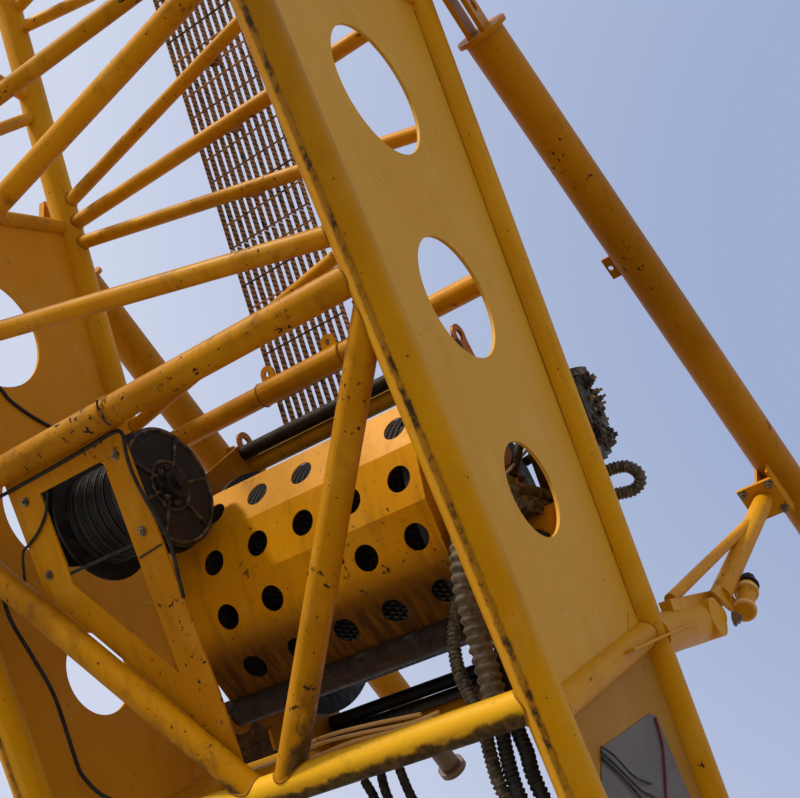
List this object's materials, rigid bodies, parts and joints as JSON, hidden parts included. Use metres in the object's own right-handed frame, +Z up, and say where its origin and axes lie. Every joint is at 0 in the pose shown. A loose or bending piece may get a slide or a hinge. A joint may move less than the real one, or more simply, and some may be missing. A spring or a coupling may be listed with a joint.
{
  "type": "crawler crane boom butt section",
  "caption": "Butt section of a crawler crane's lattice boom, carrying its winches, guard, walkway and telescopic backstops.",
  "frame": {"origin": "middle of the boom's foot-pin axis", "axes": "+X to the crane's front, +Y to its left along the pins, +Z up, with the boom leaning forward at 60 degrees"},
  "size_m": [7.9349, 3.5294, 8.6639],
  "materials": {
    "yellow_paint": "worn gloss",
    "panel_paint": "dull, dusty",
    "guard_paint": "grimy gloss",
    "rusty_grating": "rusty",
    "greasy_steel": "greasy",
    "wire_rope": "greased wire rope",
    "rod_steel": "dull"
  },
  "bodies": {
    "boom": {"rear_chord_left": "yellow_paint", "rear_chord_right": "yellow_paint", "front_chord_left": "yellow_paint", "front_chord_right": "yellow_paint", "foot_forgings": "yellow_paint", "head_lugs": "yellow_paint", "side_braces": "yellow_paint", "side_lattice": "yellow_paint", "front_cross_tubes": "yellow_paint", "front_diagonals": "yellow_paint", "front_k_braces": "yellow_paint", "rear_cross_tubes": "yellow_paint", "rear_diagonals": "yellow_paint", "winch_frame_left": "yellow_paint", "winch_frame_right": "yellow_paint", "winch_gearbox": "yellow_paint", "backstop_lugs": "yellow_paint", "rest_bracket_left": "yellow_paint", "rest_bracket_right": "yellow_paint", "reeving_frame": "yellow_paint", "side_panel_left": "panel_paint", "side_panel_right": "panel_paint", "foot_panel_left": "panel_paint", "foot_panel_right": "panel_paint", "winch_guard": "guard_paint", "walkway_grating": "rusty_grating", "winch_beams": "greasy_steel", "valve_block": "greasy_steel", "reeving_cheeks": "greasy_steel"},
    "main_drum": {"drum": "greasy_steel", "drum_rope": "wire_rope"},
    "reeving_winch_drum": {"reeving_drum": "greasy_steel", "reeving_rope": "wire_rope"},
    "backstop_left": {"backstop_tube_left": "yellow_paint"},
    "backstop_right": {"backstop_tube_right": "yellow_paint"},
    "rod_left": {"backstop_rod_left": "rod_steel"},
    "rod_right": {"backstop_rod_right": "rod_steel"}
  },
  "joints": [
    {"name": "main_drum_spin", "type": "hinge", "parent": "boom", "child": "main_drum", "pos_m": [1.84288, 0.255, 3.54096], "axis": [0, 1, 0], "continuous": true},
    {"name": "reeving_drum_spin", "type": "hinge", "parent": "boom", "child": "reeving_winch_drum", "pos_m": [2.84433, -0.482, 3.56553], "axis": [0, 1, 0], "continuous": true},
    {"name": "backstop_left_swing", "type": "hinge", "parent": "boom", "child": "backstop_left", "pos_m": [2.9467, 1.487, 5.94284], "axis": [0, 1, 0], "range_deg": [0, 35]},
    {"name": "backstop_right_swing", "type": "hinge", "parent": "boom", "child": "backstop_right", "pos_m": [2.9467, -1.487, 5.94284], "axis": [0, 1, 0], "range_deg": [0, 35]},
    {"name": "rod_left_slide", "type": "slide", "parent": "backstop_left", "child": "rod_left", "axis": [-0.9266, 0.0349, -0.3744], "range_m": [-0.45, 0]},
    {"name": "rod_right_slide", "type": "slide", "parent": "backstop_right", "child": "rod_right", "axis": [-0.9266, -0.0349, -0.3744], "range_m": [-0.45, 0]}
  ]
}
